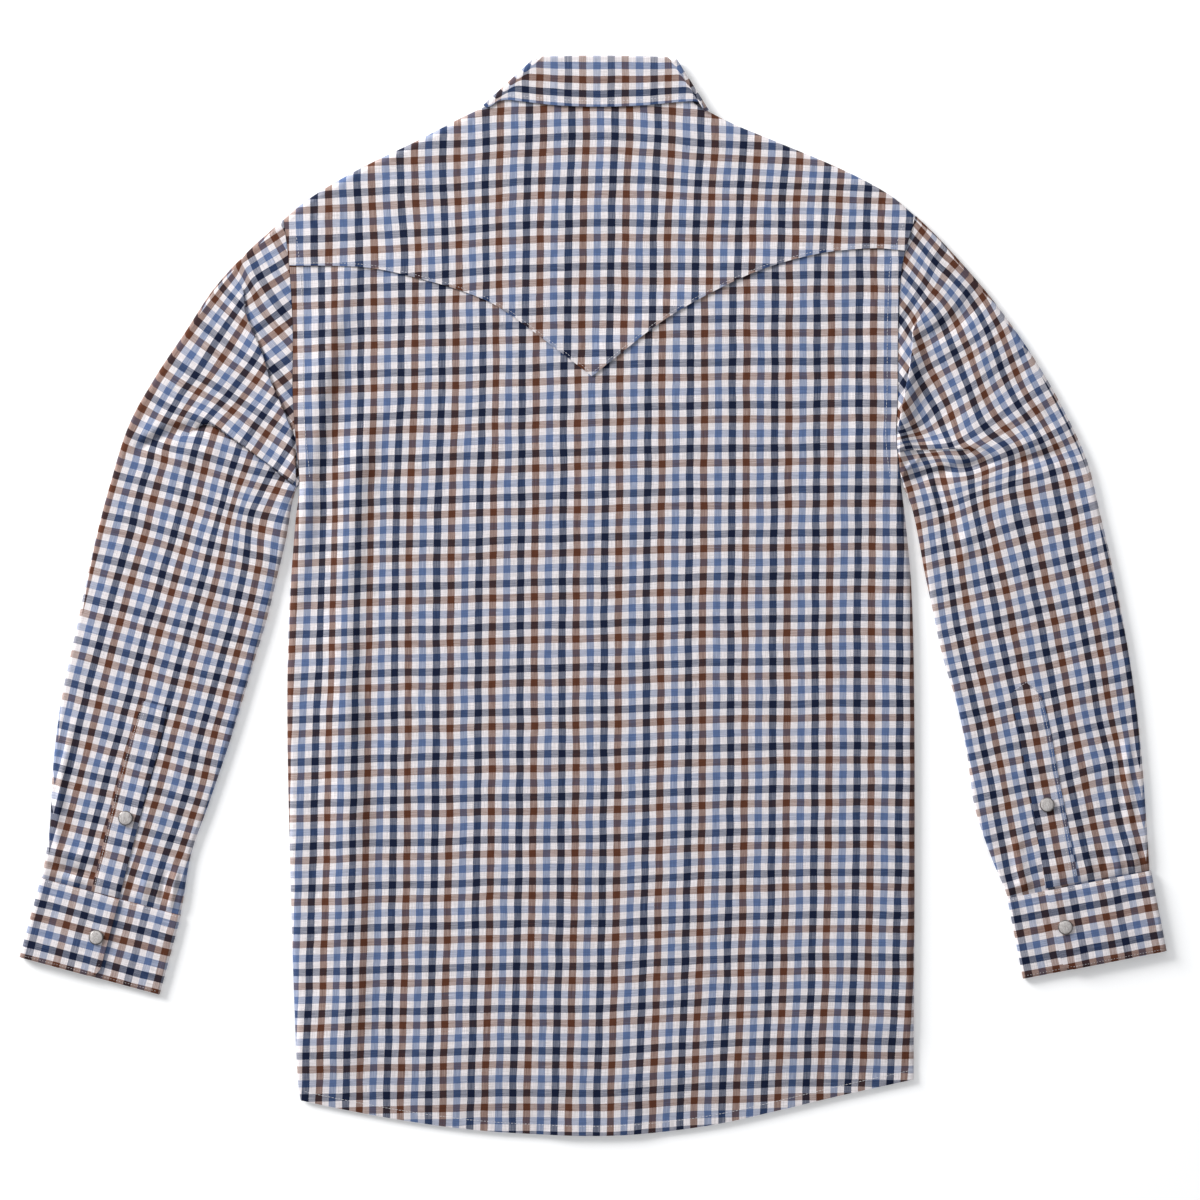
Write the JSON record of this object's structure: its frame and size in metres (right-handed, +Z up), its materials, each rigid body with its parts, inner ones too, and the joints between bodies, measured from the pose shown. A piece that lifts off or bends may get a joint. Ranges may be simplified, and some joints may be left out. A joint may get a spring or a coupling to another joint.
{
  "type": "western snap shirt",
  "caption": "Long-sleeved checked western shirt laid flat face down, with a pointed back yoke, turned-down collar, snapped cuffs and sleeve bands.",
  "frame": {"origin": "centre of the shirt's outline, on the surface it lies on", "axes": "+Z up from the surface, out of the shirt's back; +Y towards the collar; +X towards the wearer's right sleeve"},
  "size_m": [0.9402, 0.8859, 0.0097],
  "materials": {
    "checked_cotton": "matte woven cotton, small check of blue, navy and brown stripes on white",
    "checked_cotton_band": "matte woven cotton, the same check, stiffened",
    "pearl_snap": "grey pearl cap in a thin metal rim"
  },
  "bodies": {
    "root": {"back": "checked_cotton", "back_yoke": "checked_cotton", "front_left": "checked_cotton", "front_right": "checked_cotton", "front_placket": "checked_cotton_band", "collar_stand": "checked_cotton_band", "collar_leaf": "checked_cotton", "sleeve_left": "checked_cotton", "sleeve_right": "checked_cotton", "sleeve_placket_left": "checked_cotton_band", "sleeve_placket_right": "checked_cotton_band", "cuff_left": "checked_cotton_band", "cuff_right": "checked_cotton_band", "snap_cuff_left": "pearl_snap", "snap_sleeve_left": "pearl_snap", "snap_cuff_right": "pearl_snap", "snap_sleeve_right": "pearl_snap", "snap_front_1": "pearl_snap", "snap_front_2": "pearl_snap", "snap_front_3": "pearl_snap", "snap_front_4": "pearl_snap", "snap_front_5": "pearl_snap", "snap_front_6": "pearl_snap", "snap_front_7": "pearl_snap"}
  },
  "joints": []
}
